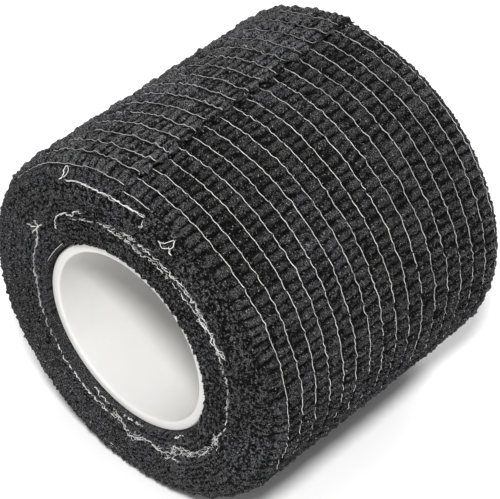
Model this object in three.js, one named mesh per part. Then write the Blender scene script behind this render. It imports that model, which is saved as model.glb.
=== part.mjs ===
// A roll of self-adhesive elastic grip tape, 5 cm wide, lying on its side.
// Millimetres, +Z up. The roll's axis runs along Y, and the origin is on the surface below it.
// Angles are in degrees about that axis, from the top of the roll and growing towards +X.
// They count on from turn to turn, so the strip's inner end has a large negative angle.
import * as THREE from 'three';

// Driving dimensions: the plastic core tube
const CORE_OUTER_RADIUS = 15.25;
const CORE_WALL = 1.5;
const CORE_LENGTH = 48.6;
const CORE_CHAMFER = 0.3;
const CORE_SEGMENTS = 48;

// Driving dimensions: the wound strip
const TAPE_WIDTH = 50;
const STRIP_THICKNESS = 0.75;
const TURN_GAP = 0.03;
const TAIL_RADIUS = 28.2; // the strip's outer face at its cut end
const CORE_CLEARANCE = 0.25; // at the corners of the first turn's flats
const FLATS_PER_TURN = 24; // one flat lies level under the roll, and carries it

// Driving dimensions: how the outermost turn droops over the roll's rounded ends
const FRONT_SHOULDER = 4.2;
const BACK_SHOULDER = 2.7;
const DROOP_EDGE = TAPE_WIDTH / 2 - 0.4; // how far out its edges reach
const DROOP_SLACK = 0.12; // kept free between the drooping edge and the turns inside it
const DROOP_STEPS = [0, 0.35, 0.62, 0.84]; // shares of a shoulder at which its inner face bends
const EDGE_LAG_FLATS = 1.2; // a turn is narrowed this many flats before it is wholly covered

// Driving dimensions: the loose end, cut slightly askew
const CUT_ANGLE = -2.5;
const CUT_SKEW = 2.5; // the cut is this much further on at the front and further back at the rear
const HINGE_ANGLE = -27.5;
const HINGE_GAP_ANGLE = 0.3; // on either side of the hinge line, about 0.15 mm
const EXPOSED_ANGLE = 2; // the outermost turn shows its yarns from here on
const COVERED_ANGLE = 1; // up to here it is a plain turn under the loose end

// Driving dimensions: the elastic yarns, each in a groove of the puckered web
const YARN_COUNT = 18;
const YARN_SPACING = 2.78;
const YARN_REACH = 0.2; // half the diagonal of a yarn's square section
const YARN_DEPTH = 0.21; // of a yarn's centre under the web's face
const YARN_END_ANGLE = 0.3; // a yarn stops this short of its web's own ends
const GROOVE_REACH = 0.45;
const GROOVE_DEPTH = 0.5;

const ANGLE_TOLERANCE = 1e-6;

const TURN_PITCH = STRIP_THICKNESS + TURN_GAP;
const FLAT_ANGLE = 360 / FLATS_PER_TURN;
const FIRST_TURN_RADIUS = CORE_OUTER_RADIUS + CORE_CLEARANCE + STRIP_THICKNESS;
const TURNS = (TAIL_RADIUS - FIRST_TURN_RADIUS) / TURN_PITCH;
const START_ANGLE = CUT_ANGLE - 360 * TURNS;

const materials = {
  core: new THREE.MeshStandardMaterial({ color: 0xefece4, roughness: 0.45, metalness: 0 }),
  web: new THREE.MeshStandardMaterial({ color: 0x1d1d1f, roughness: 0.95, metalness: 0 }),
  yarn: new THREE.MeshStandardMaterial({ color: 0xdcdcda, roughness: 0.8, metalness: 0 }),
};

// ---- The spiral ----

// The outer face's radius. A flat's corners share one radius where it lies level underneath.
function stripRadius(angle) {
  const underneath = 180 + 360 * Math.round((angle - 180) / 360);
  const level = Math.abs(angle - underneath) <= FLAT_ANGLE / 2 + ANGLE_TOLERANCE;
  return TAIL_RADIUS + (TURN_PITCH * ((level ? underneath : angle) - CUT_ANGLE)) / 360;
}

// A point of the strip: it lies on the flat at that angle, so that all turns keep their gap.
function onStrip(angle, y, depth) {
  const first = (Math.floor(angle / FLAT_ANGLE - 0.5) + 0.5) * FLAT_ANGLE;
  const [from, to] = [first, first + FLAT_ANGLE].map((corner) => {
    const radius = stripRadius(corner) - depth;
    const turned = THREE.MathUtils.degToRad(corner);
    return new THREE.Vector3(radius * Math.sin(turned), y, radius * Math.cos(turned));
  });
  return from.lerp(to, (angle - first) / FLAT_ANGLE);
}

// The angles at which a stretch of strip has a section: its two ends and each flat's corner.
function sectionAngles(from, to) {
  const angles = [from];
  for (let corner = Math.ceil(from / FLAT_ANGLE - 0.5) + 0.5; corner * FLAT_ANGLE < to; corner += 1) {
    if (corner * FLAT_ANGLE > from) angles.push(corner * FLAT_ANGLE);
  }
  return [...angles, to];
}

// ---- Sections: outlines of [y, depth] points, along the outer face and back along the inner ----

function shoulderAt(y) {
  return y < 0 ? FRONT_SHOULDER : BACK_SHOULDER;
}

// How far the outermost turn has dropped at y, along the quarter round of the shoulder.
function droop(y) {
  const shoulder = shoulderAt(y);
  const past = Math.max(0, Math.abs(y) - (TAPE_WIDTH / 2 - shoulder));
  return shoulder - Math.sqrt(shoulder ** 2 - past ** 2);
}

// Where a turn ends on the side of `sign`, to stay inside the drooping edge of the outermost one.
function turnEdge(turnsInside, sign) {
  const shoulder = shoulderAt(sign);
  const drop = Math.min(shoulder, Math.max(0, (turnsInside - 1) * TURN_PITCH - DROOP_SLACK));
  const past = Math.sqrt(shoulder ** 2 - (shoulder - drop) ** 2);
  return sign * (TAPE_WIDTH / 2 - shoulder + past);
}

function plainSection(angle) {
  const turnsInside = Math.floor((CUT_ANGLE - angle - EDGE_LAG_FLATS * FLAT_ANGLE) / 360);
  const [front, back] = [-1, 1].map((sign) => turnEdge(Math.max(1, turnsInside), sign));
  return {
    outer: [[front, 0], [back, 0]],
    inner: [[back, STRIP_THICKNESS], [front, STRIP_THICKNESS]],
  };
}

const yarnPlaces = Array.from(
  { length: YARN_COUNT },
  (_, index) => (index - (YARN_COUNT - 1) / 2) * YARN_SPACING,
);

// The outermost turn: its edges droop, and its outer face has a groove for each yarn.
function drapedSection() {
  const grooves = yarnPlaces.flatMap((y) => [
    [y - GROOVE_REACH, droop(y - GROOVE_REACH)],
    [y, droop(y) + GROOVE_DEPTH],
    [y + GROOVE_REACH, droop(y + GROOVE_REACH)],
  ]);
  const insidePlaces = [-1, 1].flatMap((sign) => {
    const shoulder = shoulderAt(sign);
    const bend = DROOP_STEPS.map((share) => TAPE_WIDTH / 2 - shoulder * (1 - share));
    return [...bend, DROOP_EDGE].map((place) => sign * place);
  });
  const inside = insidePlaces.sort((a, b) => b - a);
  return {
    outer: [[-DROOP_EDGE, droop(-DROOP_EDGE)], ...grooves, [DROOP_EDGE, droop(DROOP_EDGE)]],
    inner: inside.map((y) => [y, droop(y) + STRIP_THICKNESS]),
  };
}

function yarnSection(y) {
  return {
    outer: [
      [y - YARN_REACH, droop(y - YARN_REACH) + YARN_DEPTH],
      [y, droop(y) + YARN_DEPTH - YARN_REACH],
      [y + YARN_REACH, droop(y + YARN_REACH) + YARN_DEPTH],
    ],
    inner: [[y, droop(y) + YARN_DEPTH + YARN_REACH]],
  };
}

// ---- Solids ----

// Triangles between two rows of points that run the same way, keeping to nearest neighbours.
function stitch(rowA, rowB) {
  const triangles = [];
  let [a, b] = [0, 0];
  while (a < rowA.length - 1 || b < rowB.length - 1) {
    const canStepA = a < rowA.length - 1;
    const canStepB = b < rowB.length - 1;
    const gapA = canStepA ? rowA[a + 1].distanceTo(rowB[b]) : Infinity;
    const gapB = canStepB ? rowB[b + 1].distanceTo(rowA[a]) : Infinity;
    if (gapA <= gapB) {
      triangles.push(rowA[a], rowB[b], rowA[a + 1]);
      a += 1;
    } else {
      triangles.push(rowA[a], rowB[b], rowB[b + 1]);
      b += 1;
    }
  }
  return triangles;
}

// The flat end of a strip, facing back along the strip.
function cap(section, ring) {
  const outline = [...section.outer, ...section.inner].map(([y, depth]) => new THREE.Vector2(y, depth));
  const points = [...ring.outer, ...ring.inner];
  const clockwise = THREE.ShapeUtils.isClockWise(outline);
  return THREE.ShapeUtils.triangulateShape(outline, []).flatMap((corners) => {
    const [p, q, r] = corners.map((corner) => points[corner]);
    return clockwise ? [p, r, q] : [p, q, r];
  });
}

// A closed solid through sections at rising angles. An angle may depend on y, as a skewed cut does.
function sweptSolid(stations) {
  const rings = stations.map(({ angle, section }) => {
    const place = ([y, depth]) => onStrip(typeof angle === 'function' ? angle(y) : angle, y, depth);
    return { outer: section.outer.map(place), inner: section.inner.map(place) };
  });
  const triangles = [];
  for (let i = 0; i < rings.length - 1; i += 1) {
    const [ring, next] = [rings[i], rings[i + 1]];
    triangles.push(...stitch(ring.outer, next.outer));
    triangles.push(...stitch([ring.outer.at(-1), ring.inner[0]], [next.outer.at(-1), next.inner[0]]));
    triangles.push(...stitch(ring.inner, next.inner));
    triangles.push(...stitch([ring.inner.at(-1), ring.outer[0]], [next.inner.at(-1), next.outer[0]]));
  }
  const [first, last] = [stations[0].section, stations.at(-1).section];
  triangles.push(...cap(first, rings[0]), ...cap(last, rings.at(-1)).reverse());
  return new THREE.BufferGeometry().setFromPoints(triangles);
}

function coreGeometry() {
  const [inner, outer] = [CORE_OUTER_RADIUS - CORE_WALL, CORE_OUTER_RADIUS];
  const [half, cut] = [CORE_LENGTH / 2, CORE_CHAMFER];
  const profile = [
    [inner, -half + cut], [inner + cut, -half], [outer - cut, -half], [outer, -half + cut],
    [outer, half - cut], [outer - cut, half], [inner + cut, half], [inner, half - cut],
    [inner, -half + cut],
  ];
  return new THREE.LatheGeometry(profile.map(([r, y]) => new THREE.Vector2(r, y)), CORE_SEGMENTS);
}

function skewedCut(y) {
  return CUT_ANGLE - (CUT_SKEW * y) / (TAPE_WIDTH / 2);
}

function woundTapeGeometry() {
  const covered = sectionAngles(START_ANGLE, COVERED_ANGLE - 360);
  const exposed = sectionAngles(EXPOSED_ANGLE - 360, HINGE_ANGLE - HINGE_GAP_ANGLE);
  const draped = drapedSection();
  return sweptSolid([
    ...covered.map((angle) => ({ angle, section: plainSection(angle) })),
    ...exposed.map((angle) => ({ angle, section: draped })),
  ]);
}

function looseEndGeometry() {
  const section = drapedSection();
  const angles = sectionAngles(HINGE_ANGLE + HINGE_GAP_ANGLE, CUT_ANGLE).slice(0, -1);
  return sweptSolid([...angles.map((angle) => ({ angle, section })), { angle: skewedCut, section }]);
}

function yarnGeometry(y, from, to) {
  const section = yarnSection(y);
  const angles = sectionAngles(from + YARN_END_ANGLE, to - YARN_END_ANGLE);
  return sweptSolid(angles.map((angle) => ({ angle, section })));
}

// ---- The object ----

const roll = new THREE.Group();
roll.position.z = stripRadius(-180) * Math.cos(THREE.MathUtils.degToRad(FLAT_ANGLE / 2));

function add(name, geometry, material) {
  const mesh = new THREE.Mesh(geometry, material);
  mesh.name = name;
  roll.add(mesh);
}

add('core_tube', coreGeometry(), materials.core);
add('wound_tape', woundTapeGeometry(), materials.web);
add('loose_end', looseEndGeometry(), materials.web);
yarnPlaces.forEach((y, index) => {
  const number = String(index + 1).padStart(2, '0');
  const onRoll = yarnGeometry(y, EXPOSED_ANGLE - 360, HINGE_ANGLE - HINGE_GAP_ANGLE);
  const onEnd = yarnGeometry(y, HINGE_ANGLE + HINGE_GAP_ANGLE, skewedCut(y));
  add(`elastic_yarn_${number}`, onRoll, materials.yarn);
  add(`loose_end_yarn_${number}`, onEnd, materials.yarn);
});

const root = new THREE.Group();
root.add(roll);
export default root;
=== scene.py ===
"""A roll of self-adhesive elastic grip tape on a white plastic core, lying on its side.

Lengths are in millimetres until a mesh is made, and in metres for the camera and the lights.
Angles are in degrees about the roll's axis, from the top and growing towards +X, and they count
on along the strip: its cut end is near 0 and the turn below it is at -360. Everywhere, s is a
length along the strip and v a place across it, from the front edge (negative) to the back one.
"""
import math

import bpy
import numpy as np
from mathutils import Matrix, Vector


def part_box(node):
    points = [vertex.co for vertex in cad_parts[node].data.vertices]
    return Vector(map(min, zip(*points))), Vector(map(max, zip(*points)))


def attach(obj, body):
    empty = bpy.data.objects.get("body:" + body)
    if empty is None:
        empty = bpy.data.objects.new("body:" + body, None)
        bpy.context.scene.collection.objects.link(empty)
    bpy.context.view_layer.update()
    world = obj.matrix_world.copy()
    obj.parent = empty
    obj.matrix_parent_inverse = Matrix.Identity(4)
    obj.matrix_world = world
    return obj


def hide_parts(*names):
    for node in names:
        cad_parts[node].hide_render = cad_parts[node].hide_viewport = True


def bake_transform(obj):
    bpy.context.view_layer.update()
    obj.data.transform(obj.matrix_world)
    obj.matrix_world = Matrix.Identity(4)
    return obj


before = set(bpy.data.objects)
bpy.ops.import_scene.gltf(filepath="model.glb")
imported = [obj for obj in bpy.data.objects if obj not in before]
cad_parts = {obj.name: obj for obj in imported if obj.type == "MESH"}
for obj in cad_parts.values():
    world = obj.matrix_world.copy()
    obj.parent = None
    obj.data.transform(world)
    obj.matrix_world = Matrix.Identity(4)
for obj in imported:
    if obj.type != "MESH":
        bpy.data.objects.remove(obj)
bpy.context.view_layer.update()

MM = 0.001
core_low, core_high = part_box("core_tube")
tape_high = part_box("wound_tape")[1]

# The roll, from the frame
AXIS_HEIGHT = (core_low.z + core_high.z) / 2 / MM
CORE_RADIUS = (core_high.x - core_low.x) / 2 / MM
CORE_HALF = core_high.y / MM
HALF_WIDTH = tape_high.y / MM

# The core
CORE_WALL = 1.5
CORE_CORNER = 0.32
BORE_DRAFT = 0.05

# The strip and how it is wound: the cut is askew by CUT_SKEW at each edge
TAIL_RADIUS = 28.2
MEAN_RADIUS = 27.8
PITCH = 0.78
CUT_ANGLE = -2.5
CUT_SKEW = 2.5
SEAM_ANGLE = -35.0
BORE_RADIUS = CORE_RADIUS + 0.2
FRONT_SHOULDER = 4.2
BACK_SHOULDER = 2.7
FLOOR_GAP = 0.01
ARC_PER_DEGREE = math.radians(1) * MEAN_RADIUS
SEAM = SEAM_ANGLE * ARC_PER_DEGREE

# The crepe web. RIDGE_LEVEL is the height, in ridges, that lies on the strip's nominal face.
RIDGE_PITCH = 1.55
LOOSE_RIDGE_PITCH = 1.38
RIDGE_HEIGHT = 0.84
RIDGE_LEVEL = 0.72
RIDGE_ROUNDNESS = 0.52
LANE_BLEND = 0.17
PINCH_DEPTH = 0.48
PINCH_REACH = 0.42

# The yarns
YARN_COUNT = 18
YARN_SPACING = 2.78
YARN_RADIUS = 0.049

# The loose end: how its tip lifts, how its long edges hang, how far it puffs out past the cut
# between the yarns, and how thick it is
TIP_REACH = 4.5
EDGE_DROP = 0.5
EDGE_DROP_WIDTH = 2.2
PUFF_LENGTH = 0.6
WEB_THICKNESS = 0.50
RIM_THINNING = 0.22
THINNEST_WEB = 0.12

# The end faces: the pitch of the crinkles along the turns' edges
CRINKLE_PITCH = 1.5

# The steps of the meshes: along the strip, across it, and down each end face
COLUMN_STEP = 0.142
PROFILE_STEP = 0.2
FRONT_FACE_STEP = 0.17
BACK_FACE_STEP = 0.22
LOOSE_END_ROWS = 104
YARN_STEP = 0.26
THREAD_STEP = 0.16
TUBE_TIP = 0.15

# The loose fibres
FUZZ_COUNT = 11000
END_FUZZ_COUNT = 1300
FUZZ_RADIUS = 0.016
FUZZ_ON_ENDS = 0.62

NOISE_LAYERS = 8
NOISE_SIZE = 256
noise_rng = np.random.default_rng(41)
fuzz_rng = np.random.default_rng(77)
noise_tables = noise_rng.uniform(-1, 1, (NOISE_LAYERS, NOISE_SIZE, NOISE_SIZE))


# ---- Noise ----

def smooth(t):
    """An even step from 0 to 1 as t goes from 0 to 1."""
    t = np.clip(t, 0, 1)
    return t * t * (3 - 2 * t)


def noise(layer, u, v=0.0):
    """Smooth noise from -1 to 1 at points (u, v), one bump per unit. Callers divide a length by
    the size of a bump, and take different layers for shapes that must not repeat each other."""
    table = noise_tables[layer]
    u, v = np.broadcast_arrays(np.asarray(u, float), np.asarray(v, float))
    row, column = np.floor(u).astype(int), np.floor(v).astype(int)
    down, across = smooth(u - row), smooth(v - column)
    row, column, next_row, next_column = (i % NOISE_SIZE for i in (row, column, row + 1, column + 1))
    low = table[row, column] * (1 - down) + table[next_row, column] * down
    high = table[row, next_column] * (1 - down) + table[next_row, next_column] * down
    return low * (1 - across) + high * across


def pick(layer, i, j):
    """A fixed random number from 0 to 1 for each pair of whole numbers."""
    i, j = (np.asarray(number).astype(int) % NOISE_SIZE for number in (i, j))
    return noise_tables[layer][i, j] / 2 + 0.5


# ---- The crepe ----

def arc_length(angle):
    """An angle as a length along the strip."""
    return angle * ARC_PER_DEGREE


def lane_place(v):
    """A place across the strip counted in yarns, the front yarn being 0."""
    return v / YARN_SPACING + (YARN_COUNT - 1) / 2


def yarn_middle(index):
    """Where across the strip a yarn lies before it wanders."""
    return (index - (YARN_COUNT - 1) / 2) * YARN_SPACING


def ridge_phase(s):
    """Ridges counted along the strip: closer together on the relaxed loose end."""
    on_roll = s / RIDGE_PITCH
    on_loose_end = SEAM / RIDGE_PITCH + (s - SEAM) / LOOSE_RIDGE_PITCH
    return np.where(s < SEAM, on_roll, on_loose_end)


def crepe(s, v):
    """Height of the puckered web over its deepest grooves, from about 0 to about 1, in ridges. The
    yarns part it into lanes, each with ridges of its own, and two lanes blend beside the yarn
    between them."""
    place = lane_place(v)
    yarn, lane = np.round(place), np.floor(place)
    share = smooth((place - yarn + LANE_BLEND) / (2 * LANE_BLEND))

    def blended(in_lane):
        """A value of the lanes, blended across the yarn between two of them."""
        return in_lane(yarn - 1) * (1 - share) + in_lane(yarn) * share

    def lane_shift(number):
        """How far a lane's ridges are out of step, in ridges."""
        return 0.27 * noise(1, s / 8, number * 3.7) + 0.19 * noise(2, s / 2.2, number * 5.3)

    def lane_strength(number):
        """The height of the ridge here, which differs from ridge to ridge."""
        return 0.68 + 0.42 * pick(4, np.floor(phase), number)

    def lane_filling(number):
        """How far the groove here is filled: most grooves are open."""
        return np.clip(pick(5, np.round(phase), number) * 1.7 - 1.2, 0, 0.45)

    wander = 0.35 * noise(0, s / 11, v / 21)
    slant = 0.3 * noise(3, s / 4, lane * 2.3) * (place - lane - 0.5)
    phase = ridge_phase(s) + wander + blended(lane_shift) + slant
    ridge = np.abs(np.sin(np.pi * phase)) ** RIDGE_ROUNDNESS
    filled = blended(lane_filling)
    ridge = filled + (1 - filled) * ridge
    from_yarn = np.abs(place - yarn) * YARN_SPACING
    pinch = 1 - PINCH_DEPTH * np.exp(-((from_yarn / PINCH_REACH) ** 2))
    crumple = 0.22 * noise(6, s / 0.62, v / 0.7) + 0.17 * noise(7, s / 0.34, v / 0.36)
    return blended(lane_strength) * ridge * pinch + crumple


def edge_calm(v):
    """How much of the ridges is left near the edges: less over the front shoulder, and a little
    less over the last of the back."""
    front = 0.4 + 0.6 * smooth((v + HALF_WIDTH - 0.2) / 2.6)
    back = 1 - 0.35 * smooth(1 - (HALF_WIDTH - v) / 2.5)
    return front * back


def crepe_rise(s, v):
    """How far the web's face stands over the strip's nominal face."""
    return RIDGE_HEIGHT * edge_calm(v) * (crepe(s, v) - RIDGE_LEVEL)


def ridge_share(rise):
    """The web's height as its material takes it to paint shade into the grooves: 0 in the grooves and 1
    on the ridges.
    """
    return np.clip(RIDGE_LEVEL + rise / RIDGE_HEIGHT, 0, 1)


# ---- The roll's outline ----

def side_of(v):
    """-1 on the front half and 1 on the back one."""
    return np.where(v < 0, -1, 1)


def shoulder_at(v):
    """The radius of the rounded edge on v's side."""
    return np.where(v < 0, FRONT_SHOULDER, BACK_SHOULDER)


def spiral_radius(angle):
    """The radius of the strip's nominal face, one pitch less on each turn further in."""
    return TAIL_RADIUS + PITCH * (angle - CUT_ANGLE) / 360


def out_of_round(angle, v):
    """Slight lobes, by which the wound roll differs from a true spiral."""
    turned = np.radians(angle)
    return (0.13 * np.sin(2 * turned + 0.8) + 0.08 * np.sin(3 * turned + v / 14)
            + 0.05 * np.sin(7 * turned - v / 9))


def outline(angle, v, inward=0.0):
    """A place of the roll's face and the way out of it, as (y, radius, out_y, out_radius).
    v runs across the strip and on round the shoulder; inward is the share of the end face
    passed from the shoulder to the bore."""
    side, shoulder = side_of(v), shoulder_at(v)
    past = np.maximum(np.abs(v) - (HALF_WIDTH - shoulder), 0)
    bend = np.minimum(past / shoulder, math.pi / 2)
    y = side * (np.minimum(np.abs(v), HALF_WIDTH - shoulder) + shoulder * np.sin(bend))
    full = spiral_radius(angle) + out_of_round(angle, np.clip(v, -HALF_WIDTH, HALF_WIDTH))
    radius = full - shoulder * (1 - np.cos(bend))
    radius = radius - inward * (full - shoulder - BORE_RADIUS)
    return y, radius, side * np.sin(bend), np.cos(bend)


def to_points(angle, y, radius):
    """Points in the frame, in millimetres, with the roll settled on the floor."""
    turned = np.radians(angle)
    x = radius * np.sin(turned)
    z = np.maximum(AXIS_HEIGHT + radius * np.cos(turned), FLOOR_GAP)
    return np.stack(np.broadcast_arrays(x, y, z), axis=-1)


def raised(angle, place, rise):
    """Points that stand off places of the outline by rise."""
    y, radius, out_y, out_radius = place
    return to_points(angle, y + rise * out_y, radius + rise * out_radius)


def way_out(angle, place):
    """The direction out of the roll at places of the outline."""
    turned = np.radians(angle)
    out_y, out_radius = place[2:]
    return np.stack([out_radius * np.sin(turned), out_y, out_radius * np.cos(turned)], axis=-1)


# ---- Meshes ----

def new_object(name, points, faces, material, smooth_faces=True, **attributes):
    """A mesh object from points in millimetres. Attributes are per point."""
    mesh = bpy.data.meshes.new(name)
    faces = np.asarray(faces, np.int32)
    corners = faces.shape[1]
    mesh.vertices.add(len(points))
    mesh.vertices.foreach_set("co", (np.asarray(points) * MM).astype(np.float32).ravel())
    mesh.loops.add(faces.size)
    mesh.loops.foreach_set("vertex_index", faces.ravel())
    mesh.polygons.add(len(faces))
    mesh.polygons.foreach_set("loop_start", np.arange(0, faces.size, corners, dtype=np.int32))
    mesh.update(calc_edges=True)
    mesh.validate()
    mesh.polygons.foreach_set("use_smooth", np.full(len(mesh.polygons), smooth_faces))
    for key, values in attributes.items():
        values = np.asarray(values, np.float32)
        kind, field = ("FLOAT_VECTOR", "vector") if values.ndim == 2 else ("FLOAT", "value")
        mesh.attributes.new(key, kind, "POINT").data.foreach_set(field, values.ravel())
    mesh.materials.append(material)
    obj = bpy.data.objects.new(name, mesh)
    bpy.context.scene.collection.objects.link(obj)
    return obj


def grid_faces(rows, columns, wrap_rows, wrap_columns):
    """Quads over a grid of rows x columns points."""
    row_numbers = np.arange(rows if wrap_rows else rows - 1)
    column_numbers = np.arange(columns if wrap_columns else columns - 1)
    row, column = (grid.ravel() for grid in np.meshgrid(row_numbers, column_numbers, indexing="ij"))
    next_row, next_column = (row + 1) % rows, (column + 1) % columns
    corners = ((row, column), (next_row, column), (next_row, next_column), (row, next_column))
    return np.stack([i * columns + j for i, j in corners], axis=1)


def tube(points, radii, sides=6):
    """Points and quads of a closed tube that tapers at both ends."""
    points = np.asarray(points, float)
    radii = np.broadcast_to(np.asarray(radii, float), len(points)).copy()
    radii[[0, -1]] *= TUBE_TIP
    directions = np.gradient(points, axis=0)
    directions /= np.linalg.norm(directions, axis=1, keepdims=True)
    any_way = (0.31, 0.87, 0.38)
    side = np.cross(directions[0], any_way)
    turns = np.linspace(0, 2 * math.pi, sides, endpoint=False)
    rings = []
    for point, direction, radius in zip(points, directions, radii):
        side = side - direction * side.dot(direction)
        side /= np.linalg.norm(side)
        other = np.cross(direction, side)
        circle = np.outer(np.cos(turns), side) + np.outer(np.sin(turns), other)
        rings.append(point + radius * circle)
    walls = grid_faces(len(points), sides, False, True)
    caps = []
    for start in (0, (len(points) - 1) * sides):
        ring = start + np.arange(sides)
        for k in range(0, sides - 2, 2):
            caps.append([ring[0], ring[k + 1], ring[k + 2], ring[(k + 3) % sides]])
    caps = np.array(caps)
    half = len(caps) // 2
    caps[half:] = caps[half:, ::-1]
    return np.concatenate(rings), np.concatenate([walls[:, ::-1], caps])


def joined(parts):
    """Several (points, faces) as one."""
    points, faces, start = [], [], 0
    for part_points, part_faces in parts:
        points.append(part_points)
        faces.append(part_faces + start)
        start += len(part_points)
    return np.concatenate(points), np.concatenate(faces)


# ---- Materials ----

class Nodes:
    """Short ways to add and link the nodes of one material."""

    def __init__(self, name):
        self.material = bpy.data.materials.new(name)
        self.material.use_nodes = True
        self.tree = self.material.node_tree
        self.shader = self.tree.nodes["Principled BSDF"]

    def set(self, **values):
        """Uniform values on the shader's own sockets."""
        for key, value in values.items():
            self.shader.inputs[key.replace("_", " ")].default_value = value

    def feed(self, socket, source):
        """Link an output to the shader."""
        self.tree.links.new(source, self.shader.inputs[socket])

    def put(self, socket, value):
        """Link a node's socket to an output, or give it a value."""
        if isinstance(value, bpy.types.NodeSocket):
            self.tree.links.new(value, socket)
        else:
            socket.default_value = value

    def add(self, kind, settings=(), **inputs):
        """Add a node. Inputs have the node's own names, with _ for a space."""
        node = self.tree.nodes.new(kind)
        for key, value in dict(settings).items():
            setattr(node, key, value)
        for key, value in inputs.items():
            self.put(node.inputs[key.replace("_", " ")], value)
        return node

    def attribute(self, name):
        return self.add("ShaderNodeAttribute", {"attribute_name": name})

    def object_place(self):
        """The place on the object, in metres."""
        return self.add("ShaderNodeTexCoord").outputs["Object"]

    def noise(self, where, scale, detail=2.0, distortion=0.0, roughness=0.5):
        node = self.add("ShaderNodeTexNoise", Vector=where, Scale=scale, Detail=detail,
                        Distortion=distortion, Roughness=roughness)
        return node.outputs["Fac"]

    def math(self, operation, a, b=0.0, clamp=False):
        node = self.add("ShaderNodeMath", {"operation": operation, "use_clamp": clamp})
        self.put(node.inputs[0], a)
        self.put(node.inputs[1], b)
        return node.outputs[0]

    def remap(self, value, low, high, to_low=0.0, to_high=1.0):
        """A smooth step from to_low, at low, to to_high, at high."""
        node = self.add("ShaderNodeMapRange", {"interpolation_type": "SMOOTHSTEP"}, Value=value,
                        From_Min=low, From_Max=high, To_Min=to_low, To_Max=to_high)
        return node.outputs[0]

    def fibres(self, where, scale, width):
        """Thin curving lines: the places where a noise crosses its middle."""
        from_middle = self.math("SUBTRACT", self.noise(where, scale, 1.0, 1.2), 0.5)
        return self.remap(self.math("ABSOLUTE", from_middle), 0.0, width, 1.0, 0.0)

    def mix(self, share, a, b):
        """A mix of two colours."""
        node = self.add("ShaderNodeMix", {"data_type": "RGBA"})
        for socket, value in zip((node.inputs[0], node.inputs[6], node.inputs[7]), (share, a, b)):
            self.put(socket, value)
        return node.outputs[2]

    def bump(self, height, strength, distance):
        node = self.add("ShaderNodeBump", Height=height, Strength=strength, Distance=distance)
        self.feed("Normal", node.outputs[0])


def grey(value, blue=0.0):
    """A grey, which blue tints: bluer above 0 and warmer below it."""
    return (value, value, value * (1 + blue), 1.0)


def web_material():
    """Black nonwoven crepe: a mat of fine fibres, with painted shade in the grooves and painted
    light on the pale dusty fibres of the ridges, more of it where the brightening attribute is high. Its
    noises are per millimetre of cloth."""
    nodes = Nodes("black_crepe_web")
    cloth = nodes.attribute("cloth").outputs["Vector"]
    ridge = nodes.attribute("ridge").outputs["Fac"]
    # The brightening attribute: painted light from above over the top of the roll and the loose end, and
    # a lighter tone towards +X on the end faces
    worn = nodes.attribute("worn").outputs["Fac"]
    mat = nodes.math("MAXIMUM", nodes.fibres(cloth, 1.7, 0.028), nodes.fibres(cloth, 3.3, 0.05))
    speckle = nodes.remap(nodes.noise(cloth, 5.6, 1.0), 0.55, 0.68)
    grain = nodes.remap(nodes.noise(cloth, 7.6, 1.0), 0.40, 0.62, 0.03, 2.0)
    glint = nodes.remap(nodes.noise(cloth, 3.9, 1.0), 0.67, 0.72)
    drift = nodes.remap(nodes.noise(cloth, 0.07, 2.0), 0.3, 0.7, 0.0, 1.0)
    unevenness = nodes.math("SUBTRACT", nodes.noise(cloth, 2.5, 1.0), 0.5)
    height = nodes.math("ADD", ridge, nodes.math("MULTIPLY", unevenness, 0.9))

    # Painted shade: the dark ground is darker still in the grooves, by the web's height
    ground_share = nodes.math("MULTIPLY", nodes.remap(height, 0.4, 1.0), grain)
    ground = nodes.mix(ground_share, grey(0.0015), grey(0.010))
    # Painted light: the pale dusty fibres show only on the ridges, lighter the higher the web stands
    painted_ridge_light = nodes.remap(height, 0.4, 1.02, 0.02, 1.08)
    dust_and_painted_light = nodes.math("MULTIPLY", nodes.math("MAXIMUM", mat, speckle), painted_ridge_light)
    # Painted light: the dusty fibres brighten further where the brightening attribute is high
    dust_and_painted_light = nodes.math("MULTIPLY", dust_and_painted_light, nodes.math("ADD", nodes.math("MULTIPLY", worn, 1.2), grain))
    dusty = nodes.mix(drift, grey(0.19), grey(0.25, 0.08))
    colour = nodes.mix(nodes.math("MULTIPLY", dust_and_painted_light, 0.72, clamp=True), ground, dusty)
    colour = nodes.mix(nodes.math("MULTIPLY", glint, 0.8), colour, grey(0.45))

    nap = nodes.math("MULTIPLY", nodes.noise(cloth, 5.0, 2.0), 1.6)
    nodes.feed("Base Color", colour)
    nodes.feed("Roughness", nodes.remap(speckle, 0.0, 1.0, 0.92, 0.72))
    nodes.set(Sheen_Weight=0.02, Sheen_Roughness=0.45, Specular_IOR_Level=0.05)
    nodes.bump(nodes.math("ADD", mat, nap), 0.9, 0.00012)
    return nodes.material


def yarn_material(name, dark, light):
    """Off-white textured elastic yarn with a slight twist, grey where fuzz veils it. Its noises
    are per metre."""
    nodes = Nodes(name)
    veil = nodes.attribute("veil").outputs["Fac"]
    where = nodes.object_place()
    twist = nodes.noise(where, 5200, 2.0, 0.6)
    patch = nodes.noise(where, 420, 1.0)
    colour = nodes.mix(nodes.remap(twist, 0.3, 0.7), grey(dark), grey(light, -0.03))
    colour = nodes.mix(nodes.remap(patch, 0.45, 0.75, 0.0, 0.55), colour, grey(0.8 * dark))
    colour = nodes.mix(veil, colour, grey(0.07))
    nodes.feed("Base Color", colour)
    nodes.feed("Roughness", nodes.remap(twist, 0.2, 0.8, 0.8, 0.6))
    nodes.set(Sheen_Weight=0.2, Sheen_Roughness=0.5)
    nodes.bump(twist, 0.5, 0.00004)
    return nodes.material


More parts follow.
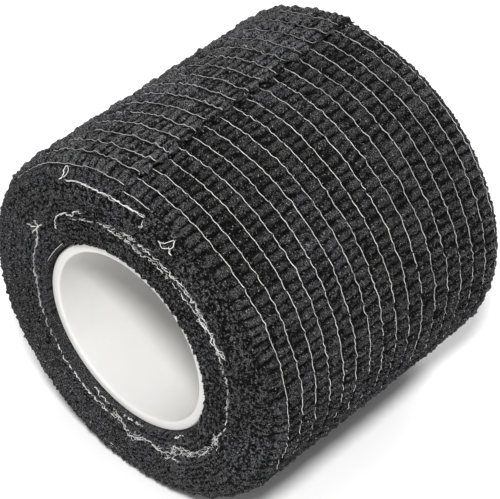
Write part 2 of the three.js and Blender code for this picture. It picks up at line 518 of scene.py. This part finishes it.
def fibre_material():
    """Loose black and grey fibres, some of them pale."""
    nodes = Nodes("loose_fibres")
    shade = nodes.noise(nodes.object_place(), 900, 1.0)
    colour = nodes.mix(nodes.remap(shade, 0.35, 0.6), grey(0.01), grey(0.16))
    colour = nodes.mix(nodes.remap(shade, 0.62, 0.7), colour, grey(0.5))
    nodes.feed("Base Color", colour)
    nodes.feed("Roughness", nodes.remap(shade, 0.3, 0.7, 0.9, 0.7))
    nodes.set(Specular_IOR_Level=0.1)
    return nodes.material


def core_material():
    """White moulded polypropylene with a soft sheen and faint handling marks."""
    nodes = Nodes("white_core_plastic")
    where = nodes.object_place()
    cloud = nodes.noise(where, 60, 3.0)
    gloss = nodes.remap(cloud, 0.3, 0.7, 0.36, 0.46)
    grain = nodes.noise(where, 2600, 2.0)
    scuff = nodes.fibres(where, 130, 0.008)
    marks = nodes.math("MULTIPLY", scuff, 0.12)
    shade = nodes.remap(cloud, 0.3, 0.7)
    colour = nodes.mix(shade, (0.655, 0.65, 0.633, 1), (0.69, 0.684, 0.667, 1))
    nodes.feed("Base Color", nodes.mix(marks, colour, (0.56, 0.55, 0.52, 1)))
    nodes.feed("Roughness", nodes.math("ADD", gloss, marks))
    nodes.set(Subsurface_Weight=0.12, Subsurface_Scale=0.002, IOR=1.49)
    nodes.bump(nodes.math("ADD", grain, scuff), 0.12, 0.00003)
    return nodes.material


# ---- The wound tape ----

def profile_places():
    """Places round the tape's section, from the front bore over the face to the back bore,
    as rows of (v, inward, bore): bore is how far along the bore a place lies."""
    halves = []
    for side, shoulder, face_step in ((-1, FRONT_SHOULDER, FRONT_FACE_STEP),
                                      (1, BACK_SHOULDER, BACK_FACE_STEP)):
        straight = HALF_WIDTH - shoulder
        edge = straight + shoulder * math.pi / 2
        face_length = TAIL_RADIUS - shoulder - BORE_RADIUS
        bore = [(side * edge, 1.0, depth) for depth in (HALF_WIDTH * 0.75, 2.5, 0.8)]
        face = [(side * edge, share, 0.0) for share in np.linspace(1, 0, round(face_length / face_step))]
        bend_places = np.linspace(edge, straight, round((edge - straight) / PROFILE_STEP))[1:]
        bend = [(side * v, 0.0, 0.0) for v in bend_places]
        halves.append(bore + face + bend)
    front, back = halves
    middle = [(v, 0.0, 0.0) for v in np.arange(front[-1][0], back[-1][0], PROFILE_STEP)[1:]]
    return np.array(front + middle + back[::-1])


def face_rise(angle, radius, past, side):
    """How far the edges of the inner turns stand out of an end face. past is the way from the
    strip's outer edge in towards the bore."""
    turned = np.radians(angle)
    x, z = radius * np.sin(turned), radius * np.cos(turned)
    wobble = 0.26 * noise(0, x / 3.1, z / 3.1) + 0.1 * noise(1, x / 0.9, z / 0.9)
    turn = past / PITCH + wobble
    shown = 0.65 + 0.35 * np.cos(turned + math.radians(125))
    ridge = np.abs(np.sin(np.pi * turn)) ** 0.8
    around = turned * radius
    phase = 2 * math.pi * around / CRINKLE_PITCH + 2.4 * np.floor(turn) + 2 * noise(2, x / 2, z / 2)
    stagger = pick(3, np.floor(turn), 7 + side) - 0.5
    fuzz = 0.17 * noise(4, x / 0.38, z / 0.38) + 0.17 * noise(5, x / 0.22, z / 0.22)
    return 0.32 * shown * ridge + 0.09 * np.sin(phase) + 0.18 * shown * stagger + fuzz - 0.12


def tape_surface(angle, v, inward):
    """The wound tape's surface, as (place, rise, face, to_face): places of the outline, how far
    the surface stands off them, the end face's own relief, and how much of it there is."""
    shoulder = shoulder_at(v)
    place = outline(angle, v, inward)
    past_shoulder = np.abs(v) - (HALF_WIDTH - shoulder)
    past_edge = np.abs(v) - HALF_WIDTH + inward * (spiral_radius(angle) - shoulder - BORE_RADIUS)
    to_face = smooth((past_shoulder - 0.5 * shoulder) / (0.5 * shoulder))
    web = crepe_rise(arc_length(angle), np.clip(v, -HALF_WIDTH, HALF_WIDTH))
    face = face_rise(angle, place[1], past_edge, side_of(v))
    return place, web * (1 - to_face) + face * to_face, face, to_face


def wound_tape(material):
    """The wound turns as one closed body: crepe outside, the turns' edges at both ends."""
    angles = np.arange(SEAM_ANGLE - 360, SEAM_ANGLE, COLUMN_STEP / ARC_PER_DEGREE)
    angles = np.append(angles, SEAM_ANGLE)[:, None]
    v, inward, bore = profile_places().T
    s = arc_length(angles)
    place, rise, face, to_face = tape_surface(angles, v, inward)
    y, radius, out_y, out_radius = place
    rise = rise * (bore == 0)
    ragged = 0.16 * noise(6, s / 0.8, v) * smooth((inward - 0.93) / 0.07)
    radius = radius + rise * out_radius + ragged * (bore == 0)
    y = y + rise * out_y - side_of(v) * bore
    points = to_points(angles, y, radius)

    section = np.array([y[0], radius[0]])
    path = np.concatenate([[0], np.cumsum(np.hypot(*np.diff(section, axis=1)))])
    cloth = np.stack(np.broadcast_arrays(s, path[None, :], 0 * s), axis=-1)
    # Painted shade on the end faces: darker where the relief of the turns' edges sinks
    end_ridge = np.clip(0.64 + face * 2.8, 0, 1)
    ridge = ridge_share(rise) * (1 - to_face) + end_ridge * to_face
    # The end faces are lighter towards +X. Over the face, painted light from above rises towards the
    # loose end near the top, and the web is a little lighter near both edges.
    worn_end = 0.5 + 0.4 * np.sin(np.radians(angles))
    worn_side = np.maximum(smooth((angles + 130) / 60), 0.4 * smooth((np.abs(v) - 19) / 4))
    worn = worn_side * (1 - to_face) + worn_end * to_face
    faces = grid_faces(*points.shape[:2], True, True)
    return new_object("wound_tape_crepe", points.reshape(-1, 3), faces, material,
                      cloth=cloth.reshape(-1, 3), ridge=ridge.ravel(), worn=worn.ravel())


# ---- The loose end ----

def cut_arc(v):
    """Where the cut runs, as a length along the strip: askew, and torn a little."""
    straight = arc_length(CUT_ANGLE - CUT_SKEW * v / HALF_WIDTH)
    puffs = np.abs(np.sin(np.pi * lane_place(v)))
    torn = 0.75 * noise(1, v / 2.4, 9.5) + 0.4 * noise(2, v / 0.55, 3.5)
    return straight + PUFF_LENGTH * puffs + torn


def tip_lift(before_cut, v):
    """How far the loose end stands off the turn below it, over the last stretch to its cut."""
    curl = 0.24 + 0.22 * noise(3, v / 6, 4.5) + 0.6 * smooth((v - 23.2) / 1.6)
    return curl * smooth(1 - before_cut / TIP_REACH) ** 1.5


def from_edge(v):
    """The way across the strip to its nearer edge."""
    return HALF_WIDTH - np.abs(v)


def edge_drop(s, v):
    """The loose end's long edges hang a little lower than its face."""
    return EDGE_DROP * smooth(1 - from_edge(v) / EDGE_DROP_WIDTH) * smooth((s - SEAM) / 3)


def loose_end(material):
    """The last stretch of the strip: a puckered sheet with a thick torn edge."""
    share = np.linspace(0, 1, LOOSE_END_ROWS)[:, None]
    v = np.arange(-HALF_WIDTH, HALF_WIDTH + 0.01, PROFILE_STEP)
    end = cut_arc(v)
    s = SEAM + share * (end - SEAM)
    angle = s / ARC_PER_DEGREE
    lift, drop = tip_lift(end - s, v), edge_drop(s, v)
    web = crepe_rise(s, v)

    to_rim = np.maximum(smooth(1 - (end - s) / 0.5), smooth(1 - from_edge(v) / 0.6) + 0 * s)
    top = web + lift - RIM_THINNING * to_rim - drop
    thickness = WEB_THICKNESS - RIM_THINNING * to_rim + 0.05 * noise(4, s / 0.7, v / 0.7)
    lowest = -0.7 + 0.1 * noise(5, s / 0.8, v / 0.9) + lift - 0.8 * drop
    under = np.minimum(np.maximum(top - thickness, lowest), top - THINNEST_WEB)

    place = outline(angle, v)
    layers = [raised(angle, place, rise) for rise in (top, under)]
    rows, columns = layers[0].shape[:2]
    points = np.concatenate([layer.reshape(-1, 3) for layer in layers])
    top_faces = grid_faces(rows, columns, False, False)
    under_faces = top_faces[:, ::-1] + rows * columns
    index = np.arange(rows * columns).reshape(rows, columns)
    border = np.concatenate([index[0], index[1:, -1], index[-1, -2::-1], index[-2:0:-1, 0]])
    following = np.roll(border, -1)
    rim = np.stack([border, following, following + rows * columns, border + rows * columns], axis=1)
    faces = np.concatenate([top_faces, under_faces, rim])

    # The two faces take their pattern from places apart, so that they don't match
    cloth = np.stack(np.broadcast_arrays(s, v + 40, 0 * s), axis=-1).reshape(-1, 3)
    cloth = np.concatenate([cloth, cloth + (0, 0, 3)])
    ridge = np.tile(ridge_share(web).ravel(), 2)
    # Painted light from above: the whole loose end takes the full brightening
    return new_object("loose_end_crepe", points, faces, material,
                      cloth=cloth, ridge=ridge, worn=np.ones(len(points)))


# ---- The yarns ----

def yarn_line(index, s):
    """Where a yarn lies across the strip: near its groove, with small kinks at the ridges."""
    drift = 0.32 * smooth((s - arc_length(-75)) / arc_length(60))
    kinks = 0.07 * noise(2, s / 0.75, index * 4.1) + 0.10 * noise(3, s / 3.3, index * 2.9)
    return yarn_middle(index) + drift + kinks


def buried_first_yarn(angle):
    """How much fuzz covers the yarn nearest the front, which shows only near the loose end and
    as a few dashes past it."""
    on_roll = angle + 360 * (angle < SEAM_ANGLE - 90)
    shown = smooth((on_roll + 58) / 4) * smooth((13 - on_roll) / 4)
    dashes = smooth((4 - np.abs(on_roll - 35.5)) / 2) * smooth(noise(4, angle / 2.0, 5.5) / 0.3)
    return 1 - np.maximum(shown, dashes)


def yarn_points(index, s):
    """A yarn's line, which follows the web smoothly and stays on top of it."""
    angle = s / ARC_PER_DEGREE
    v = yarn_line(index, s)
    web = crepe_rise(s, v)
    kernel = np.exp(-np.linspace(-2, 2, 9) ** 2)
    padded_web = np.pad(web, len(kernel) // 2, mode="edge")
    level = np.convolve(padded_web, kernel / kernel.sum(), mode="valid")
    sunk = 0.3 * smooth((noise(5, s / 3.5, index * 6.7) - 0.93) / 0.08)
    if index == 0:
        sunk = sunk + 0.5 * buried_first_yarn(angle)
    rise = np.maximum(level, web - 0.05) + 0.05 - sunk
    on_end = angle > SEAM_ANGLE
    if on_end.any():
        rise = rise + (tip_lift(cut_arc(v) - s, v) - edge_drop(s, v)) * on_end
    points = raised(angle, outline(angle, v), rise)
    points[:, 2] = np.maximum(points[:, 2], 1.25 * YARN_RADIUS + FLOOR_GAP)
    return points


def yarn_veil(points):
    """How much dark fuzz covers a yarn: most on the loose end and past it, some to the back."""
    x, y, z = points.T
    angle = np.degrees(np.arctan2(x, z - AXIS_HEIGHT))
    on_end = smooth((CUT_ANGLE + 4 - angle) / 10) * smooth((angle + 125) / 50)
    to_back = 0.35 * smooth((y + 6) / 24)
    patches = 0.25 * noise(7, x / 1.7 + z / 1.7, y / 2.4)
    return np.clip(0.45 * on_end + to_back + patches, 0, 1)


def seam_end(v):
    """Where the yarns of the wound tape stop, whatever their place across it."""
    return SEAM


def cut_end(v):
    """Where a yarn of the loose end stops: a little past the cut."""
    return float(cut_arc(np.array(v))) + 0.25


def yarn_tubes(name, start, end_of, material):
    """All the yarns from start to end_of(v), as tubes of slightly uneven thickness."""
    parts = []
    for index in range(YARN_COUNT):
        end = end_of(yarn_middle(index))
        s = np.linspace(start, end, max(12, round((end - start) / YARN_STEP)))
        thick = YARN_RADIUS * (1 + 0.16 * noise(6, s / 1.3, index * 3.3))
        parts.append(tube(yarn_points(index, s), thick))
    points, faces = joined(parts)
    return new_object(name, points, faces, material, veil=yarn_veil(points))


# ---- The loose threads of the front end ----

# Yarns that show at the edges of the turns. Places are (angle, radius).
RING_THREADS = (
    dict(at=[(-28, 19.5), (-16, 19.8), (-6, 20.0), (3, 20.1), (13, 20.1)],
         radius=0.03, strands=2, spread=0.3, buried=0.12),
    dict(at=[(-11, 20.4), (2, 20.8), (8, 21.1), (16, 21.6)],
         radius=0.03, strands=1, spread=0.2, buried=0.12),
    dict(at=[(-10, 20.2), (7, 19.8), (20, 20.1), (34, 20.6), (46, 20.6), (52, 21.0)],
         radius=0.03, strands=2, spread=0.4, waves=0.07),
    dict(at=[(2, 21.0), (22, 21.3), (38, 21.6), (48, 21.4), (56, 21.2)],
         radius=0.03, strands=3, spread=0.4, waves=0.07),
    dict(at=[(14, 20.2), (25, 21.4), (33, 22.0), (44, 21.6)],
         radius=0.03, strands=1, spread=0.3, waves=0.12),
    dict(at=[(46, 20.3), (51, 20.9), (56, 21.1), (60, 21.6), (63, 22.0)],
         radius=0.036, strands=4, spread=0.6, lift=0.14, waves=0.13),
    dict(at=[(60, 20.6), (72, 20.4), (85, 20.0), (101, 19.5), (112, 19.2)],
         radius=0.034, strands=3, spread=0.35, buried=0.12),
    dict(at=[(110, 19.2), (121, 19.1), (133, 18.9)],
         radius=0.034, strands=7, spread=1.0, waves=0.16, buried=0.15),
    dict(at=[(134, 18.8), (144, 18.0), (152, 18.4), (158, 18.4)],
         radius=0.034, strands=9, spread=1.2, waves=0.2, buried=0.3),
    dict(at=[(148, 20.2), (153, 19.8), (158, 20.1)],
         radius=0.032, strands=4, spread=0.5, waves=0.16, buried=0.15),
    dict(at=[(158, 18.5), (165, 17.6), (174, 18.1), (183, 17.5), (190, 15.9)],
         radius=0.034, strands=8, spread=1.3, waves=0.2, buried=0.3),
    dict(at=[(134, 15.8), (138, 15.7), (142, 15.8)],
         radius=0.04, strands=4, spread=0.2),
    dict(at=[(168, 15.2), (176, 15.1), (183, 15.3)],
         radius=0.034, strands=3, spread=0.2, buried=0.15),
    dict(at=[(188, 15.1), (197, 15.0), (206, 15.3)],
         radius=0.034, strands=3, spread=0.2, buried=0.15),
    dict(at=[(-63, 18.8), (-75, 18.5), (-84, 17.9), (-94, 17.5), (-118, 17.3), (-151, 17.3),
             (-170, 17.4)],
         radius=0.05, strands=4, spread=0.28, lift=0.05, waves=0.04, buried=0.04),
    dict(at=[(184, 24.0), (188, 24.1), (192, 23.9)],
         radius=0.034, strands=3, spread=0.3, buried=0.15),
)
# A hook that stands off the end, and a fork beside it
HOOK = dict(at=[(-43, 18.4), (-41, 19.1), (-38, 19.9), (-34, 20.3), (-31, 20.5), (-27, 20.0),
                (-25, 20.7), (-22, 21.1), (-19, 21.1)],
            radius=0.045, strands=2, spread=0.1, lift=0.2, waves=0.07)
FORK = (-56, 19.7)
FORK_TIPS = ((-60, 21.5), (-62, 20.1), (-50, 19.9), (-63, 18.8), (-53, 21.0))
# Two loops on the shoulder, a short end that leaves one of them, and other stray pieces. The
# last is a bright frayed stretch of yarn.
STRAY_THREADS = (
    dict(at=[(-26.5, 25.6), (-25, 25.8), (-24.2, 26.3), (-24.6, 26.9), (-23.6, 27.1),
             (-22.8, 26.7), (-23.2, 26.2), (-24.3, 25.9)],
         radius=0.045, strands=2, spread=0.06, lift=0.25, waves=0.04),
    dict(at=[(18.4, 24.9), (20, 25.5), (21.6, 26.5), (22.6, 25.8), (21.4, 25.1), (19.6, 24.8),
             (17.6, 24.9)],
         radius=0.045, strands=2, spread=0.06, lift=0.25, waves=0.05),
    dict(at=[(21.4, 25.4), (22.6, 24.8), (23.8, 24.7)],
         radius=0.04, strands=2, spread=0.1, lift=0.2),
    dict(at=[(9, 24.4), (11, 24.9), (10.2, 25.6)],
         radius=0.04, strands=2, spread=0.2, lift=0.2),
    dict(at=[(-66, 15.8), (-59, 15.8), (-52, 15.9), (-45, 16.1)],
         radius=0.04, strands=1, spread=0.0, waves=0.04, lift=0.1),
    dict(at=[(-24, 25.6), (-17, 25.7), (-10, 25.5), (-4, 25.7), (3, 25.8), (10, 26.0)],
         radius=0.04, strands=3, spread=0.22, lift=0.12, waves=0.08),
)


def front_point(angle, radius, lift):
    """Points over the front end, out to its shoulder, that stand off the surface by lift."""
    full = spiral_radius(angle) + out_of_round(angle, -HALF_WIDTH)
    bend = np.arccos(np.clip(1 - (full - radius) / FRONT_SHOULDER, 0, 1))
    face_top = full - FRONT_SHOULDER
    inward = np.clip((face_top - radius) / (face_top - BORE_RADIUS), 0, 1)
    v = -(HALF_WIDTH - FRONT_SHOULDER + FRONT_SHOULDER * bend)
    place, rise = tape_surface(angle, v, inward)[:2]
    return raised(angle, place, rise + lift)


def along(waypoints, step):
    """Angles and radii at even steps of a smooth line through (angle, radius) waypoints: a
    Catmull-Rom spline, with its ends carried straight on."""
    places = np.array(waypoints, float)
    before_first, after_last = 2 * places[:1] - places[1:2], 2 * places[-1:] - places[-2:-1]
    places = np.concatenate([before_first, places, after_last])
    rows = []
    for before, first, last, after in zip(places, places[1:], places[2:], places[3:]):
        length = math.hypot(math.radians(last[0] - first[0]) * first[1], last[1] - first[1])
        t = np.linspace(0, 1, max(2, round(length / step)), endpoint=False)[:, None]
        square = 2 * before - 5 * first + 4 * last - after
        cube = 3 * first - before - 3 * last + after
        rows.append(0.5 * (2 * first + (last - before) * t + square * t ** 2 + cube * t ** 3))
    return np.concatenate(rows + [places[-2:-1]]).T


def thread(at, radius, strands, spread, lift=0.08, waves=0.1, buried=0.0):
    """Closed tubes for one loose thread that is frayed into strands. More buried means that
    more of it dips under the fuzz."""
    parts = []
    for strand in range(strands):
        angle, place = along(at, THREAD_STEP)
        seed = 7.3 * strand + 3.1 * at[0][0] + at[0][1]
        walked = THREAD_STEP * np.arange(len(angle))
        offset = spread * noise(1, walked / 2.1, seed) + waves * noise(2, walked / 0.7, seed)
        sway = waves * noise(3, walked / 0.6, seed + 0.5)
        dips = buried * smooth(noise(5, walked / 1.3, seed) / 0.3)
        off = lift + 0.6 * waves * noise(4, walked / 0.9, seed) - dips
        points = front_point(angle + np.degrees(sway / place), place + offset, off)
        thick = radius * (1 + 0.3 * noise(6, walked / 0.5, seed))
        parts.append(tube(points, thick, sides=5))
    return parts


def frayed_threads(material):
    """White yarn ends that have worked loose over the front end."""
    tines = []
    for tip in FORK_TIPS:
        bow = ((FORK[0] + tip[0]) / 2, (FORK[1] + tip[1]) / 2 + 0.1)
        tines.append(dict(at=[FORK, bow, tip], radius=0.036, strands=3, spread=0.2, lift=0.16))
    parts = []
    for spec in (*RING_THREADS, HOOK, *tines, *STRAY_THREADS):
        parts += thread(**spec)
    points, faces = joined(parts)
    on_left = smooth((-13 - points[:, 0]) / 2) * smooth((AXIS_HEIGHT + 9 - points[:, 2]) / 3)
    veil = 0.15 * yarn_veil(points) + 0.5 * on_left
    return new_object("frayed_threads", points, faces, material, veil=veil)


# ---- The fuzz ----

def fibre_tufts(name, roots, outward, lengths, material):
    """Short loose fibres: a closed three-sided spindle each, leaning at random off the web."""
    count = len(roots)
    direction = 0.75 * outward + fuzz_rng.normal(size=(count, 3))
    direction /= np.linalg.norm(direction, axis=1, keepdims=True)
    side = np.cross(direction, np.roll(direction, 1, axis=1) + (0.3, 0.1, 0.2))
    side /= np.linalg.norm(side, axis=1, keepdims=True)
    other = np.cross(direction, side)
    tip = roots + direction * lengths[:, None]
    bow = lengths[:, None] * 0.18 * fuzz_rng.normal(size=(count, 1)) * side
    middle = (roots + tip) / 2 + bow
    turns = np.radians((0, 120, 240))
    ring = [middle + FUZZ_RADIUS * (math.cos(turn) * side + math.sin(turn) * other) for turn in turns]
    points = np.stack([roots, *ring, tip], axis=1)
    points[..., 2] = np.maximum(points[..., 2], FLOOR_GAP)
    spindle = np.array([(0, 2, 1), (0, 3, 2), (0, 1, 3), (4, 1, 2), (4, 2, 3), (4, 3, 1)])
    faces = (spindle[None] + 5 * np.arange(count)[:, None, None]).reshape(-1, 3)
    return new_object(name, points.reshape(-1, 3), faces, material, smooth_faces=False)


def web_fuzz(material):
    """Fuzz on the wound tape: thickest on the ends and shoulders, thin over the face."""
    on_end = fuzz_rng.random(FUZZ_COUNT) < FUZZ_ON_ENDS
    angle = fuzz_rng.uniform(SEAM_ANGLE - 325, SEAM_ANGLE, FUZZ_COUNT)
    side = np.where(fuzz_rng.random(FUZZ_COUNT) < 0.5, -1, 1)
    bend = np.where(side < 0, 1.0, 0.6) * FRONT_SHOULDER
    bend_start, bend_length = HALF_WIDTH - bend, bend * math.pi / 2
    shoulder_v = side * (bend_start + bend_length * fuzz_rng.random(FUZZ_COUNT) ** 0.6)
    inward = np.where(on_end, fuzz_rng.uniform(-0.35, 1, FUZZ_COUNT), 0)
    end_v = np.where(inward > 0, side * (bend_start + bend_length), shoulder_v)
    v = np.where(on_end, end_v, fuzz_rng.uniform(-HALF_WIDTH, HALF_WIDTH, FUZZ_COUNT))
    place, rise = tape_surface(angle, v, np.clip(inward, 0, 1))[:2]
    roots = raised(angle, place, rise - 0.05)
    lengths = 0.3 + 0.6 * fuzz_rng.random(FUZZ_COUNT) ** 2
    return fibre_tufts("web_fuzz", roots, way_out(angle, place), lengths, material)


def loose_end_fuzz(material):
    """Fuzz on the loose end, thickest at its torn edge."""
    v = fuzz_rng.uniform(-HALF_WIDTH + 0.4, HALF_WIDTH - 0.4, END_FUZZ_COUNT)
    end = cut_arc(v)
    before_cut = (end - SEAM) * fuzz_rng.random(END_FUZZ_COUNT) ** 2.4
    s = end - 0.05 - 0.97 * before_cut
    angle = s / ARC_PER_DEGREE
    place = outline(angle, v)
    rise = crepe_rise(s, v) + tip_lift(end - s, v) - edge_drop(s, v)
    roots = raised(angle, place, rise - 0.2)
    lengths = 0.3 + 0.5 * fuzz_rng.random(END_FUZZ_COUNT) ** 2
    return fibre_tufts("loose_end_fuzz", roots, way_out(angle, place), lengths, material)


# ---- The core ----

def core_tube(material):
    """The plastic core: a smooth tube with rounded rims and a bore that narrows to its middle."""
    inner = CORE_RADIUS - CORE_WALL
    corners = ((CORE_RADIUS - CORE_CORNER, range(0, 91, 18)), (inner + CORE_CORNER, range(90, 181, 18)))
    rim = []
    for middle, sweeps in corners:
        for sweep in np.radians(sweeps):
            rim.append((CORE_HALF - CORE_CORNER + CORE_CORNER * math.sin(sweep),
                        middle + CORE_CORNER * math.cos(sweep)))
    flat_half = CORE_HALF - 1
    inside = [(y, inner - BORE_DRAFT * (1 - abs(y) / CORE_HALF))
              for y in np.linspace(flat_half, -flat_half, 24)]
    back_rim = [(-y, radius) for y, radius in rim[::-1]]
    outside = [(y, CORE_RADIUS) for y in np.linspace(-flat_half, flat_half, 12)]
    y, radius = np.array(rim + inside + back_rim + outside).T
    turns = np.radians(np.arange(0, 360, 1.5))[:, None]
    sway = 0.03 * np.sin(3 * turns + 0.4) + 0.02 * np.sin(5 * turns + y / 9)
    x, z = (radius + sway) * np.sin(turns), (radius + sway) * np.cos(turns)
    points = np.stack(np.broadcast_arrays(x, y, AXIS_HEIGHT + z), axis=-1)
    faces = grid_faces(*points.shape[:2], True, True)
    return new_object("core_tube_plastic", points.reshape(-1, 3), faces, material)


# ---- Camera, floor and light, in metres ----

CAMERA_AZIMUTH = math.radians(43.15)
CAMERA_ELEVATION = math.radians(42.96)
CAMERA_DISTANCE = 0.3533
CAMERA_TARGET = Vector((0, 0.00043, AXIS_HEIGHT * MM))
CAMERA_LENS = 175.7
CAMERA_SENSOR = 36
CAMERA_SHIFT = (0.0024, 0.0012)
FLOOR_HALF = 2.0
WORLD_STRENGTH = 0.40


def add_camera():
    """The camera, at the photograph's viewing angle."""
    level = math.cos(CAMERA_ELEVATION)
    back = Vector((math.sin(CAMERA_AZIMUTH) * level, -math.cos(CAMERA_AZIMUTH) * level,
                   math.sin(CAMERA_ELEVATION)))
    camera = bpy.data.objects.new("camera", bpy.data.cameras.new("camera"))
    camera.data.lens = CAMERA_LENS
    camera.data.sensor_width = CAMERA_SENSOR
    camera.data.shift_x, camera.data.shift_y = CAMERA_SHIFT
    camera.data.clip_start = 0.01
    camera.location = CAMERA_TARGET + back * CAMERA_DISTANCE
    camera.rotation_euler = back.to_track_quat("Z", "Y").to_euler()
    bpy.context.scene.collection.objects.link(camera)
    bpy.context.scene.camera = camera


def add_floor():
    """A plain pale floor, which isn't part of the object."""
    nodes = Nodes("studio_floor")
    nodes.set(Base_Color=(0.95, 0.95, 0.95, 1), Roughness=0.9)
    corners = np.array([(-1, -1, 0), (1, -1, 0), (1, 1, 0), (-1, 1, 0)])
    floor = new_object("studio_floor", corners * FLOOR_HALF / MM, [(0, 1, 2, 3)], nodes.material)


def add_light(name, place, size, power, target=(0, 0, 0.028)):
    """A round soft light that faces the target."""
    data = bpy.data.lights.new(name, "AREA")
    data.shape, data.size, data.energy = "DISK", size, power
    light = bpy.data.objects.new(name, data)
    light.location = place
    light.rotation_euler = (Vector(place) - Vector(target)).to_track_quat("Z", "Y").to_euler()
    bpy.context.scene.collection.objects.link(light)


def add_studio():
    """The floor, an even white surround, and two soft lights."""
    add_floor()
    world = bpy.data.worlds.new("studio")
    world.use_nodes = True
    background = world.node_tree.nodes["Background"]
    background.inputs["Color"].default_value = (1, 1, 1, 1)
    background.inputs["Strength"].default_value = WORLD_STRENGTH
    scene = bpy.context.scene
    scene.world = world
    scene.view_settings.view_transform = "Standard"
    add_light("key", (0.28, -0.32, 0.64), 0.12, 5.6)
    add_light("back", (-0.1, 0.5, 0.6), 0.5, 2.4)


# ---- The object ----

add_camera()
web = web_material()
yarn = yarn_material("elastic_yarn", 0.52, 0.9)
loose_yarn = yarn_material("loose_white_thread", 0.62, 0.88)
plastic = core_material()

core = core_tube(plastic)
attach(core, "roll")
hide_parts("core_tube")

tape = wound_tape(web)
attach(tape, "roll")
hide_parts("wound_tape")

yarn_numbers = [f"{number:02d}" for number in range(1, YARN_COUNT + 1)]
yarns = yarn_tubes("elastic_yarns", arc_length(SEAM_ANGLE - 360), seam_end, yarn)
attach(yarns, "roll")
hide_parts(*[f"elastic_yarn_{number}" for number in yarn_numbers])

end_sheet = loose_end(web)
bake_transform(end_sheet)
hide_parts("loose_end")

end_yarns = yarn_tubes("loose_end_yarns", SEAM, cut_end, yarn)
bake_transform(end_yarns)
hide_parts(*[f"loose_end_yarn_{number}" for number in yarn_numbers])

threads = frayed_threads(loose_yarn)
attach(threads, "roll")

fibres = fibre_material()
fuzz = web_fuzz(fibres)
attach(fuzz, "roll")

end_fuzz = loose_end_fuzz(fibres)
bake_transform(end_fuzz)

add_studio()
